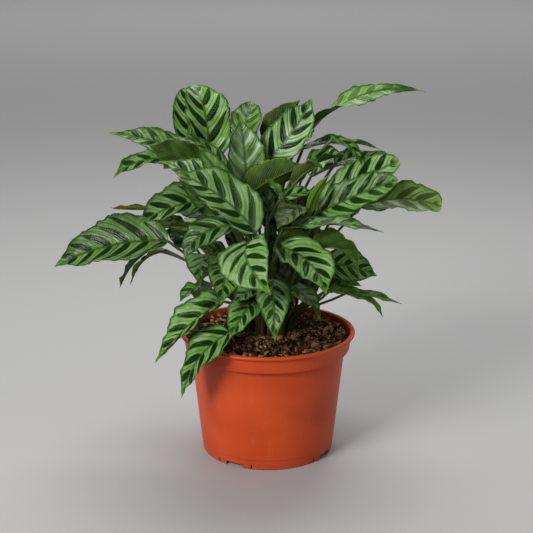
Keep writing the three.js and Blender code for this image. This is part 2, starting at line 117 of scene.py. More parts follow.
# Each leaf: base and tip of its blade, bow of its rib, the way its upper side faces, then width,
# fold of each half in degrees and height of the waves
LEAVES = [
    # Left side
    ((-87, -25, 202), (-190, -15, 176), (0, 0, 8), (0, -0.7, 0.7), 51, 26, 3),
    ((-104, -20, 194), (-133, -10, 155), (-3, 0, 3), (-0.7, 0.2, 0.5), 20, 10, 1.5),
    ((-89, -29, 195), (-121, -31, 164), (-4, 0, 7), (-0.7, 0.2, 0.7), 18, 10, 2),
    ((-50, -52, 244), (-109, -66, 227), (0, 0, 5), (0, -0.65, 0.75), 38, 31, 2),
    ((-38, -16, 263), (-141, 3, 293), (0, 0, 6.5), (0, -0.72, 0.7), 26, 20, 2.5),
    ((-55, -30, 272), (-101, -36, 289), (0, 0, -1), (0.3, 0.9, 0.02), 30, 20, 2),
    ((-74, -6, 270), (-134, -20, 257), (-5, 0, 8), (0, -0.6, 0.8), 20, 20, 2),
    ((-27, -56, 224), (-90, -42, 276), (6, 0, 7), (0.2, -0.7, 0.7), 42, 24, 2.5),
    ((-30, -37, 264), (-68, -37, 298), (0, 0, 3), (0.2, -0.6, 0.7), 14, 15, 1),
    ((-10, -78, 223), (-76, -70, 272), (4, 0, 5), (0.3, -0.75, 0.65), 46, 26, 2.5),
    ((-28, -76, 229), (-69, -86, 202), (-7, 0, 6), (-0.2, -0.65, 0.7), 28, 8, 2),
    ((-32, -28, 223), (-83, -28, 230), (0, 0, 2), (0, -0.5, 0.85), 30, 18, 2),
    ((-51, -44, 195), (-56, -85, 176), (-3, -2, 5), (-0.45, -0.6, 0.75), 33, 22, 2),
    ((-33, -74, 196), (-38, -118, 173), (0, -3, 5), (0.25, -0.6, 0.8), 37, 18, 2),
    ((-60, -58, 170), (-75, -66, 159), (0, 0, 2), (-0.4, -0.6, 0.7), 15, 30, 1),
    ((-38, -45, 153), (-100, -40, 94), (1, 0, 8), (-0.3, -0.35, 0.85), 43, 25, 2.5),
    ((-33, -60, 129), (-75, -68, 72), (-5, -2, 8), (-0.6, -0.5, 0.6), 42, 14, 2),
    # Front and centre
    ((-16, -86, 216), (2, -140, 189), (-9, 0, 4), (-0.55, -0.4, 0.75), 49, 16, 2),
    ((-10, -66, 164), (-32, -98, 137), (1, -2, 4), (-0.2, -0.6, 0.75), 30, 16, 2),
    ((-8, -58, 169), (-28, -84, 162), (0, 0, 3), (-0.1, -0.5, 0.85), 24, 16, 1.5),
    ((4, -76, 182), (6, -108, 138), (0, -4, 3), (0, -0.85, 0.5), 31, 16, 2),
    ((1, 17, 210), (3, -4, 176), (0, -4, 7), (0, -0.9, 0.4), 10, 15, 1.5),
    ((-19, -30, 244), (34, -20, 269), (-2, 0, 2), (-0.2, 0.95, 0.2), 35, 30, 2),
    ((11, -42, 244), (39, -36, 249), (0, 0, 1), (0, -0.7, 0.7), 15, 30, 1),
    ((28, -42, 237), (8, -66, 223), (0, 0, 3), (-0.2, -0.6, 0.8), 28, 18, 1.5),
    ((34, -41, 227), (53, -51, 267), (-3, 0, 2), (0.3, 0.9, 0.2), 10, 25, 1),
    # Right side
    ((13, -58, 205), (48, -97, 175), (5, 0, 6), (0.3, -0.6, 0.7), 44, 12, 2),
    ((18, -42, 162), (45, -72, 144), (3, 0, 6), (0.4, -0.5, 0.7), 27, 16, 1.5),
    ((52, -38, 161), (120, -20, 143), (0, 0, 3), (0, -0.45, 0.9), 12, 18, 1.5),
    ((50, -26, 182), (97, -20, 169), (0, 0, 3), (0.1, -0.8, 0.4), 31, 16, 2),
    ((38, -48, 201), (79, -50, 174), (7, 0, 12), (0.1, 0.65, 0.75), 33, 36, 2),
    ((13, -59, 222), (98, -57, 218), (0, 0, 6), (0, -0.25, 0.95), 20, 15, 2),
    ((42, -23, 227), (115, -11, 271), (0, 0, 4), (-0.3, -0.75, 0.6), 37, 20, 2),
    ((43, -31, 228), (110, -51, 262), (0, 0, 2), (-0.2, -0.7, 0.7), 35, 12, 2.5),
    ((81, -14, 230), (153, -12, 230), (0, 0, 7), (0, -0.65, 0.78), 33, 20, 2.5),
    # Top
    ((32, 27, 291), (141, 30, 326), (0, 0, 15), (0, -0.94, 0.34), 28, 8, 2),
    ((-1, -8, 270), (39, 10, 323), (3, -3, -1), (-0.1, -0.8, 0.5), 38, 20, 2.5),
    ((-5, 13, 288), (29, 28, 319), (0, 3, -1), (0.1, 0.9, 0.3), 24, 18, 2),
    ((-53, 12, 265), (-67, 40, 330), (5, -8, 8), (0.45, -0.9, 0.3), 45, 20, 3),
    ((-71, 36, 272), (-73, 50, 327), (0, -6, 3), (0.1, -0.9, 0.3), 29, 16, 2),
    ((-22, 4, 288), (-14, 38, 316), (0, 0, 3), (0, -0.75, 0.6), 29, 16, 2),
    ((-18, -20, 247), (-24, -10, 309), (1, -3, 0), (0.3, -0.9, 0.2), 37, 22, 2),
    ((22, -30, 254), (44, -25, 269), (0, 0, 3), (0, 0.7, 0.5), 18, 30, 1),
    ((31, 0, 280), (100, 12, 277), (0, 0, 7), (0, -0.4, 0.9), 13, 18, 2),
    ((34, -14, 267), (69, -13, 276), (0, 0, 2), (0, -0.2, 1), 24, 40, 1.5),
    ((60, 12, 264), (98, 25, 268), (0, 0, 3), (0, -0.5, 0.85), 22, 18, 2),
    # Far side
    ((40, 45, 246), (98, 82, 250), (0, 0, 6), (0.3, 0.3, 0.9), 40, 20, 2.5),
    ((58, 42, 204), (96, 100, 208), (0, 0, 7), (0.4, 0.4, 0.8), 44, 20, 2.5),
    ((45, 52, 158), (92, 105, 128), (0, 0, 8), (0.4, 0.5, 0.7), 40, 18, 2.5),
    ((15, 58, 262), (38, 126, 272), (0, 0, 7), (0.1, 0.4, 0.9), 42, 20, 2.5),
    ((14, 66, 215), (34, 145, 200), (0, 0, 8), (0.2, 0.5, 0.8), 46, 20, 2.5),
    ((8, 60, 160), (12, 125, 122), (0, 0, 8), (0, 0.6, 0.7), 42, 18, 2.5),
    ((-20, 60, 262), (-46, 124, 276), (0, 0, 7), (-0.1, 0.4, 0.9), 42, 20, 2.5),
    ((-25, 66, 212), (-60, 138, 204), (0, 0, 8), (-0.2, 0.5, 0.8), 44, 20, 2.5),
    ((-32, 55, 162), (-66, 112, 126), (0, 0, 8), (-0.3, 0.6, 0.7), 42, 18, 2.5),
    ((-55, 45, 240), (-100, 84, 246), (0, 0, 6), (-0.3, 0.3, 0.9), 42, 20, 2.5),
    ((-60, 38, 198), (-132, 70, 180), (0, 0, 7), (-0.4, 0.4, 0.8), 46, 20, 2.5),
    ((-42, 32, 147), (-70, 76, 114), (0, 0, 7), (-0.4, 0.5, 0.7), 38, 18, 2.5),
]
# How far a stem's upper part bends aside to pass its neighbours
SWAYS = {2: (0, 6, 8), 3: (0, -5, 8), 6: (4, -8, -4), 15: (6, -10, 12), 16: (0, 0, 6), 30: (0, 0, 6),
         32: (6, 8, 0), 37: (-8, 5, 0), 44: (8, -4, 0)}
# Taper towards the tip where it isn't the usual one, length of the lobes beside the stem, and
# turn of the base against the tip in degrees
TAPERS = {13: 1.6, 14: 1.1, 17: 1.2, 20: 1.1, 21: 1.25, 28: 1.4, 31: 1.6, 33: 0.5, 34: 0.6, 35: 0.35,
          36: 1.5, 39: 0.6, 40: 0.5, 41: 0.9, 44: 1.1}
LOBES = {18: 9, 27: 8}
TWISTS = {36: 130}

# Young and inner leaves that only the dressed plant has, in the same form, numbered on
SMALL_LEAVES = [
    ((-102, -30, 233), (-135, -34, 234), (0, 0, -0.5), (0, -0.5, 0.85), 7, 50, 1),
    ((-72, -40, 222), (-94, -46, 230), (0, 0, 1), (0, -0.6, 0.8), 10, 14, 1),
    ((-66, -46, 219), (-85, -52, 222), (0, 0, 1), (0, -0.7, 0.7), 11, 14, 1),
    ((-65, -44, 210), (-83, -50, 214), (0, 0, 1), (0, -0.5, 0.8), 9, 14, 1),
    ((-33, -62, 262), (-57, -62, 292), (-1, 0, 0), (-0.2, -0.7, 0.7), 17, 12, 1),
    ((-28, -66, 223), (-75, -64, 267), (-1, 0, -1), (-0.6, -0.4, 0.5), 15, 16, 1),
    ((12, -44, 249), (-2, -44, 261), (0, 0, 1), (-0.2, -0.7, 0.7), 8, 24, 2),
    ((0, -20, 224), (-5, -24, 254), (2, 0, 0), (0, -0.9, 0.3), 14, 14, 1),
    ((33, -44, 203), (11, -50, 214), (0, 0, 2), (0, 0.8, 0.4), 18, 20, 1),
    ((73, -30, 158), (103, -26, 132), (3, 0, 4), (0.2, -0.6, 0.7), 8, 20, 1),
    ((53, -42, 163), (91, -40, 151), (0, 0, 2), (0, -0.5, 0.85), 10, 18, 1),
    ((55, -34, 160), (83, -32, 163), (0, 0, 4), (0, -0.6, 0.8), 11, 18, 1),
    ((78, 2, 264), (112, 4, 269), (0, 0, 4), (0, -0.7, 0.6), 16, 14, 1),
    ((57, -12, 291), (82, -16, 267), (4, 0, 3), (0.4, -0.6, 0.6), 12, 16, 1),
    ((35, -28, 275), (49, -28, 264), (0, 0, 2), (0, -0.6, 0.7), 5, 30, 0.5),
    # Inner leaves, which their tint darkens fully with painted shade
    ((-69, 10, 192), (-92, 6, 204), (0, 0, 2), (0, -0.8, 0.5), 24, 14, 2),
    ((-38, 15, 180), (-63, 12, 187), (0, 0, 2), (0, -0.8, 0.5), 16, 14, 2),
    ((-27, 20, 185), (-37, 18, 207), (0, 0, 0), (0, -0.9, 0.3), 16, 14, 1),
    ((6, 15, 204), (-1, 14, 249), (-2, 0, 0), (0, -0.95, 0.2), 24, 14, 2),
    ((19, 18, 192), (18, 16, 243), (2, 0, 0), (0, -0.95, 0.2), 28, 14, 2),
    ((35, 24, 189), (42, 22, 242), (-2, 0, 0), (0, -0.95, 0.2), 28, 14, 2),
    ((23, -22, 147), (14, -24, 183), (-2, 0, 0), (0, -0.95, 0.2), 26, 14, 2),
    ((34, -14, 149), (32, -16, 186), (2, 0, 0), (0, -0.95, 0.2), 24, 14, 2),
    ((2, -20, 156), (-1, -24, 194), (1, 0, 0), (0, -0.95, 0.2), 18, 14, 2),
    ((53, 10, 147), (83, 8, 160), (0, 0, 3), (0, -0.7, 0.6), 18, 14, 2),
    # Far side
    ((10, 42, 178), (30, 84, 168), (0, 0, 5), (0.2, 0.5, 0.8), 28, 18, 2),
    ((-12, 44, 192), (-36, 88, 186), (0, 0, 6), (-0.2, 0.5, 0.8), 30, 18, 2),
    ((26, 36, 218), (60, 72, 222), (0, 0, 5), (0.3, 0.4, 0.85), 30, 18, 2),
    ((-30, 38, 226), (-62, 76, 218), (0, 0, 5), (-0.3, 0.4, 0.85), 30, 18, 2),
    ((2, 46, 236), (6, 92, 240), (0, 0, 6), (0, 0.45, 0.85), 30, 18, 2),
    ((34, 34, 186), (64, 66, 180), (0, 0, 6), (0.4, 0.3, 0.85), 28, 18, 2),
    ((-6, 46, 150), (-22, 84, 134), (0, 0, 5), (-0.1, 0.6, 0.7), 26, 18, 2),
    ((30, 40, 150), (58, 70, 130), (0, 0, 5), (0.3, 0.5, 0.7), 26, 18, 2),
]
# Rings in the crown where small leaves stand: radius of the first, distance apart and count
SMALL_CROWN_RADIUS = 20
SMALL_CROWN_STEP = 2.5
SMALL_CROWN_RINGS = 3

# Youth and painted light of a leaf, from -1 for painted shade, a dark grey-green, to 1 for a young
# yellow-green, partly its own colour and partly painted light
PAINTED_LIGHT_AND_YOUTH = {
    1: -0.65, 2: 0.3, 3: 0.7, 4: -0.55, 5: -0.3, 6: -0.5, 7: -0.2, 9: -0.3, 11: -0.6, 12: -0.5, 13: -0.6,
    17: -0.35, 18: -0.1, 21: -0.2, 22: -0.8, 25: -1, 26: 0.5, 27: -0.1, 28: -0.3, 29: 0.4, 30: 0.2,
    32: -0.4, 34: -0.35, 35: 0.2, 36: -0.2, 38: -0.4, 41: -0.5, 43: -0.6, 44: -0.4, 45: -0.4, 46: -0.4,
    59: -0.3, 60: 0.3, 61: 0.5, 62: -0.5, 63: -0.3, 64: -0.8, 65: 0.1, 66: -0.8, 67: 0.4, 68: 0.8,
    69: 0.5, 70: 0.5, 73: 0.2, **dict.fromkeys(range(74, 84), -1),
}
# Strength of a leaf's dark bars where they are faint
MARKED = {25: 0.8, 26: 0, 28: 0.6, 32: 0.8, 35: 0.8, 36: 0.45, 41: 0.6, 42: 0.4, 59: 0.3, 61: 0.2,
          63: 0.15, 64: 0.4, 65: 0.3, 67: 0.3, 68: 0.2, 73: 0}
# Reach of a leaf's dark bars, as a share of the way from rib to margin
BAR_REACH = 0.93
SHORT_BARS = {13: 0.8, 14: 0.8, 18: 0.84, 19: 0.8, 20: 0.8, 21: 0.74, 27: 0.8, 28: 0.8}
# Share of white gleam, a painted highlight, on blades that face the light
GLEAMS = {8: 0.8, 10: 0.35, 18: 0.25, 37: 0.45, 42: 0.9, 62: 0.5}
# Share of dry brown in a leaf's colours, most at its tip
DRYNESS = {3: 0.2, 25: 0.3, 35: 0.2, 43: 0.5, 59: 0.9, 61: 0.4, 67: 0.3, 68: 0.3}

# Bars and side veins: bars on a blade where their length allows it, their least and greatest length,
# half a dark bar's share of that, and slant of the veins, greater towards the tip and the margin
BARS_PER_BLADE = 4.3
BAR_LEAST, BAR_MOST = 9.5, 17.0
BAR_HALF_WIDTH = 0.28
VEIN_SLANT = 0.4
VEIN_SLANT_ALONG = 0.45
VEIN_SLANT_OUT = 0.6
# A leaf's seed is its number times this, less the whole part, and shifts its bars by so many turns
SEED_STEP = 0.6180339887
SEED_TURNS = 7

# Cells across a blade and their length along it, how many rows, and shares of the first and last
CELLS_ACROSS = 22
CELL_LENGTH = 1.7
ROWS_LEAST, ROWS_MOST = 26, 64
FIRST_ROW, LAST_ROW = 0.02, 0.995

# Relief of a blade: pleats between the side veins, frilled and scalloped margin, groove of the rib.
# Both are two waves: frills by length in millimetres, scallops in radians a millimetre.
BLADE_THICKNESS = 0.5
PLEAT_HEIGHT = 0.55
FRILL_HEIGHT = 0.9
FRILL_LENGTHS = (13, 7.3)
SCALLOP = 0.022
SCALLOP_WAVES = (0.74, 1.3)
SECOND_WAVE = 0.6
RIB_GROOVE = 0.35
RIB_GROOVE_WIDTH = 0.9
FULL_RELIEF_WIDTH = 36

# Tip of a blade: its least half width, and how much, from where and how far it is drawn in
TIP_HALF_WIDTH = 0.25
TAIL_DRAW = 0.5
TAIL_START = 0.74
TAIL_LENGTH = 0.23

# Stems: radius at shares of the length, with a sheath at the soil and a thick top at the blade,
# and how deep a stem is for its width
PETIOLE_RADIUS = 1.15
SHEATH_RADIUS = 1.9
TOP_RADIUS = 1.35
STEM_RADII = ((0, SHEATH_RADIUS), (0.12, SHEATH_RADIUS), (0.4, PETIOLE_RADIUS * 1.1),
              (0.88, PETIOLE_RADIUS), (0.96, TOP_RADIUS), (1, TOP_RADIUS * 0.95))
STEM_DEPTHS = ((0, 0.75), (0.4, 0.9), (1, 1))
STEM_PIECES = 6
TUBE_SIDES = 12

# Rib under the blade: where it runs, its rings, radius at base and tip, taper, and how far its
# middle lies under the blade as a share of its radius
RIB_START, RIB_END = 0.05, 0.93
RIB_RINGS = 16
RIB_BASE_RADIUS = PETIOLE_RADIUS * 0.8
RIB_TIP_RADIUS = 0.22
RIB_TAPER = 0.8
RIB_STAND_OFF = 0.35

# Surface of the soil: rings and sides, height of its clods and crumbs, and how near the wall they fade
SOIL_RINGS = 64
SOIL_SIDES = 150
CLOD_HEIGHT = 0.7
CRUMB_HEIGHT = 0.35
CLOD_MARGIN = 6

# Bits on the soil: count, least and greatest length, and range of tone from dark to pale
BARK = (1500, 2.2, 8, (0.0, 0.72))
CRUMBS = (2600, 0.9, 2.8, (0.1, 1.0))
FIBRE_COUNT = 260
BITS_SEED = 7
BITS_REACH = 72
FIBRE_REACH = 70
CHIP_JITTER = 0.35

# A block's corners, two layers of four, and its faces
CORNERS = np.array([(i, j, k) for k in (-1, 1) for i, j in ((-1, -1), (1, -1), (1, 1), (-1, 1))], float)
BLOCK_FACES = [(0, 3, 2, 1), (4, 5, 6, 7), (0, 1, 5, 4), (1, 2, 6, 5), (2, 3, 7, 6), (3, 0, 4, 7)]

# Stage, in metres: half the floor's side and its drop under the pot, and each light's name, place,
# aim, size and watts
FLOOR_HALF = 20
FLOOR_DROP = 0.0002
WORLD_LIGHT = 0.3
LIGHTS = [
    ("key", (-1.1, -1.35, 1.2), (0, 0, 0.18), 0.7, 36),
    ("fill", (1.5, -0.9, 0.8), (0, 0, 0.18), 1.4, 2.5),
    ("top", (0.1, 0.55, 1.45), (0, 0, 0.2), 0.75, 13),
    ("far", (0, 7, 4), (0, 7, 0), 8, 225),
]


# Vector helpers
def unit(v):
    return v / norm(v, axis=-1, keepdims=True)


def bezier(points, t):
    p0, p1, p2, p3 = points
    t = np.asarray(t, float)[..., None]
    return (1 - t) ** 3 * p0 + 3 * (1 - t) ** 2 * t * p1 + 3 * (1 - t) * t**2 * p2 + t**3 * p3


def bezier_length(points):
    line = bezier(points, np.linspace(0, 1, 60))
    return norm(np.diff(line, axis=0), axis=1).sum()


def bezier_tangent(points, t):
    p0, p1, p2, p3 = points
    t = np.asarray(t, float)[..., None]
    return unit((1 - t) ** 2 * (p1 - p0) + 2 * (1 - t) * t * (p2 - p1) + t**2 * (p3 - p2))


def turned_about(v, axis, angle):
    """v turned about a unit axis by an angle in radians"""
    c, s = np.cos(angle)[..., None], np.sin(angle)[..., None]
    along = np.sum(v * axis, axis=-1, keepdims=True) * axis
    return v * c + np.cross(axis, v) * s + along * (1 - c)


# Plant layout
class Leaf:
    def __init__(self, number, row):
        self.number = number
        base, tip, bow, facing, self.width, self.fold, self.wave = row
        self.base, self.tip, self.facing = (np.array(v, float) for v in (base, tip, facing))
        bow = np.array(bow) * 4 / 3
        step = (self.tip - self.base) / 3
        self.rib = (self.base, self.base + step + bow, self.tip - step + bow, self.tip)
        self.sway = np.array(SWAYS.get(number, (0, 0, 0)))
        self.taper = TAPERS.get(number, TIP_TAPER)
        self.lobe = LOBES.get(number, 0)
        self.twist = TWISTS.get(number, 0)
        self.phase = (number - 1) * PHASE_STEP
        self.seed = number * SEED_STEP % 1
        self.length = bezier_length(self.rib)
        self.bar = min(BAR_MOST, max(BAR_LEAST, self.length / BARS_PER_BLADE))


def soil_height(x, y):
    share = (x**2 + y**2) / BAND_LOW_RADIUS**2
    mound = SOIL_CROWN_HEIGHT + (SOIL_EDGE_HEIGHT - SOIL_CROWN_HEIGHT) * share
    lumps = np.sin(x * LUMP_WAVES[0] + LUMP_STARTS[0]) * np.cos(y * LUMP_WAVES[1] + LUMP_STARTS[1])
    diagonal = DIAGONAL_SHARE * np.sin((x - y) * LUMP_WAVES[2])
    return mound + SOIL_LUMP * (lumps + diagonal)


def standing(x, y):
    return np.array((x, y, soil_height(x, y) - STEM_DEPTH))


def crown_roots(leaves):
    """Each root stands towards its own leaf, high leaves innermost, and they push apart"""
    heights = [leaf.base[2] for leaf in leaves]
    lowest, highest = min(heights), max(heights)
    roots = []
    for leaf in leaves:
        inwards = (leaf.base[2] - lowest) / (highest - lowest)
        roots.append(unit(leaf.base[:2]) * CROWN_RADIUS * (1 - CROWN_PULL * inwards))
    for _ in range(ROOT_SETTLING_STEPS):
        for i, j in combinations(range(len(roots)), 2):
            apart = roots[j] - roots[i]
            distance = math.hypot(*apart)
            if distance < ROOT_SPACING:
                push = apart * (ROOT_SPACING - distance) / 2 / distance
                roots[i] = roots[i] - push
                roots[j] = roots[j] + push
    return [standing(x, y + CROWN_BACK) for x, y in roots]


def stem_path(leaf, root):
    """A stem rises straight out of the soil and bends over into its blade"""
    start = root + (0, 0, STEM_DEPTH + 1)
    arrival = unit(bezier_tangent(leaf.rib, 0) + (0, 0, ARRIVAL_LIFT))
    first = np.array((start[0], start[1], (start[2] + leaf.base[2]) / 2))
    reach = ARRIVAL_REACH * norm(leaf.base - start)
    second = leaf.base - arrival * reach + leaf.sway
    return bezier((start, first, second, leaf.base), np.linspace(0, 1, STEM_JOINTS + 1))


def small_root(leaf):
    """A small leaf stands in the crown on its own side"""
    away = unit(leaf.base[:2] - (0, CROWN_BACK))
    x, y = away * (SMALL_CROWN_RADIUS + SMALL_CROWN_STEP * (leaf.number % SMALL_CROWN_RINGS))
    return standing(x, y + CROWN_BACK)


def settle_stems(paths):
    """Stems that would touch push each other apart between their fixed ends"""
    paths = np.array(paths)
    k = np.arange(STEM_JOINTS * SAMPLES_PER_JOINT)
    joint, share = k // SAMPLES_PER_JOINT, (k % SAMPLES_PER_JOINT / SAMPLES_PER_JOINT)[:, None]
    stem = np.repeat(np.arange(len(paths)), len(k))
    others = stem[:, None] != stem[None, :]
    for _ in range(STEM_SETTLING_STEPS):
        samples = paths[:, joint] * (1 - share) + paths[:, joint + 1] * share
        flat = samples.reshape(-1, 3)
        square = (flat**2).sum(1)
        apart = np.sqrt(np.maximum(square[:, None] + square[None, :] - 2 * flat @ flat.T, 1e-9))
        weight = np.where(others & (apart < STEM_SPACING), STEM_PUSH * (STEM_SPACING - apart) / apart, 0)
        force = (flat * weight.sum(1)[:, None] - weight @ flat).reshape(samples.shape)
        for point in range(1, STEM_JOINTS):
            for joint_of, part in ((joint, 1 - share), (joint + 1, share)):
                paths[:, point] += (force * part)[:, joint_of == point].sum(1)
    return paths


# Meshes
def quads(*corners):
    """Faces of four corners each, from four arrays of indices"""
    return [tuple(q) for q in np.stack(corners, -1).reshape(-1, 4).tolist()]


def joined(shapes):
    points, faces, first = [], [], 0
    for shape_points, shape_faces in shapes:
        points.append(shape_points)
        faces += [tuple(i + first for i in f) for f in shape_faces]
        first += len(shape_points)
    return np.vstack(points), faces


def tube_faces(rings, sides):
    index = np.arange(rings * sides).reshape(rings, sides)
    near, far = index[:-1], index[1:]
    walls = quads(near, far, np.roll(far, -1, 1), np.roll(near, -1, 1))
    return walls + [tuple(index[0]), tuple(index[-1][::-1])]


def tube_points(centres, sides_to, ups, wide, deep, sides):
    angle = np.linspace(0, 2 * np.pi, sides, endpoint=False)[:, None]
    across = np.cos(angle) * wide[:, None, None] * sides_to[:, None]
    lift = np.sin(angle) * deep[:, None, None] * ups[:, None]
    return (centres[:, None] + across + lift).reshape(-1, 3)


def added(name, data):
    """A new object in the scene"""
    thing = bpy.data.objects.new(name, data)
    SCENE.collection.objects.link(thing)
    return thing


def make_piece(name, points, faces, materials, replaced=(), looks=None, values=None):
    mesh = bpy.data.meshes.new(name)
    mesh.from_pydata((np.asarray(points) * MM).tolist(), [], faces)
    for look in materials:
        mesh.materials.append(look)
    if looks is not None:
        mesh.polygons.foreach_set("material_index", np.asarray(looks, np.int32))
    for key, numbers in (values or {}).items():
        layer = mesh.attributes.new(key, "FLOAT", "POINT")
        layer.data.foreach_set("value", np.asarray(numbers, np.float32))
    mesh.polygons.foreach_set("use_smooth", [True] * len(mesh.polygons))
    mesh.update()
    piece = added(name, mesh)
    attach(piece, "root")
    if replaced:
        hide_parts(*replaced)
    return piece


# Shader formulas
def feed(target, value):
    if isinstance(value, Term):
        value.tree.links.new(value.socket, target)
    else:
        target.default_value = value


class Nodes:
    """Adds nodes to its own tree"""

    def made(self, kind, output, inputs, **settings):
        """One output of a new node, from its inputs and settings"""
        node = self.tree.nodes.new("ShaderNode" + kind)
        for key, setting in settings.items():
            setattr(node, key, setting)
        for place, value in inputs.items():
            feed(node.inputs[place], value)
        return Term(self.tree, node.outputs[output])


class Term(Nodes):
    """A shader value that takes part in plain formulas"""

    def __init__(self, tree, socket):
        self.tree, self.socket = tree, socket

    def op(self, operation, *others):
        return self.made("Math", 0, dict(enumerate((self, *others))), operation=operation)

    __add__ = partialmethod(op, "ADD")
    __sub__ = partialmethod(op, "SUBTRACT")
    __mul__ = partialmethod(op, "MULTIPLY")
    __truediv__ = partialmethod(op, "DIVIDE")
    __pow__ = partialmethod(op, "POWER")
    __abs__ = partialmethod(op, "ABSOLUTE")
    above = partialmethod(op, "GREATER_THAN")

    def ramp(self, low, high):
        """0 at low and 1 at high, smooth between them"""
        inputs = {"Value": self, "From Min": low, "From Max": high}
        return self.made("MapRange", "Result", inputs, interpolation_type="SMOOTHSTEP")

    def random(self):
        return self.made("TexWhiteNoise", "Value", {"W": self}, noise_dimensions="1D")

    def mix(self, low, high):
        """A colour: low where this is 0, high where it is 1"""
        return self.made("Mix", 2, {0: self, 6: low, 7: high}, data_type="RGBA")


class Finish(Nodes):
    """A material whose principled shader is fed by formulas"""

    def __init__(self, name, roughness, specular):
        self.material = bpy.data.materials.new(name)
        self.material.use_nodes = True
        self.tree = self.material.node_tree
        self.set("Roughness", roughness)
        self.set("Specular IOR Level", specular)

    def set(self, name, value):
        feed(self.tree.nodes["Principled BSDF"].inputs[name], value)

    def value(self, name):
        return self.made("Attribute", "Fac", {}, attribute_name=name)

    def place(self):
        """Object coordinates in millimetres, as three terms"""
        where = self.made("TexCoord", "Object", {})
        parts = self.made("SeparateXYZ", 0, {0: where}).socket.node
        return [Term(self.tree, out) * (1 / MM) for out in parts.outputs]

    def noise(self, x, y, z, detail=2.0, rough=0.5):
        where = self.made("CombineXYZ", 0, {0: x, 1: y, 2: z})
        inputs = {"Vector": where, "Scale": 1, "Detail": detail, "Roughness": rough}
        return self.made("TexNoise", "Fac", inputs)

    def finished(self, colour, roughness, height):
        """The material, with a relief in millimetres"""
        inputs = {"Strength": 1, "Distance": MM, "Height": height}
        self.set("Base Color", colour)
        self.set("Roughness", roughness)
        self.set("Normal", self.made("Bump", "Normal", inputs))
        return self.material


def paint(red, green, blue):
    """A colour from screen values of 0 to 255"""
    def light(v):
        v = v / 255
        return v / 12.92 if v <= 0.04045 else ((v + 0.055) / 1.055) ** 2.4
    return (light(red), light(green), light(blue), 1.0)


def layered(colour, *layers):
    """A colour with others laid over it in turn, each by its share"""
    for share, *screen in layers:
        colour = share.mix(colour, paint(*screen))
    return colour


# Leaf finishes
def blade_terms(finish):
    """Coordinates on a blade: millimetres along the rib and out from it, and shares of each"""
    along, across = finish.value("along_mm"), finish.value("across")
    half, seed = finish.value("half_mm"), finish.value("seed")
    share, out = finish.value("rib_share"), abs(across)
    return along, across * half, half, seed, share, out, out * half, across.above(0)


def vein_line(along, away, out, share):
    """Millimetres along the rib at which the side vein through this place leaves it"""
    return along - away * (share * VEIN_SLANT_ALONG + VEIN_SLANT + out * VEIN_SLANT_OUT)


def bar_turns(vein, pitch, seed, side):
    """Bars counted along the rib, the two halves of a blade out of step"""
    return vein / pitch + seed * SEED_TURNS + side * (seed * 5).random() * 0.9


def with_dryness_youth_and_painted_light(finish, colour, share):
    """A colour with the leaf's own dryness and youth, and painted light and painted shade for where it lies
    """
    youth_and_painted_light, dry = finish.value("youth_and_painted_light"), finish.value("dry")
    return layered(
        colour,
        (dry * (share * 0.7 + 0.3), 112, 86, 36),
        # Young yellow-green, partly painted light; below zero, painted shade in grey-green
        (youth_and_painted_light.ramp(0, 1) * 0.75, 98, 142, 28),
        ((youth_and_painted_light * -1).ramp(0, 1) * 0.6, 20, 34, 16),
    )


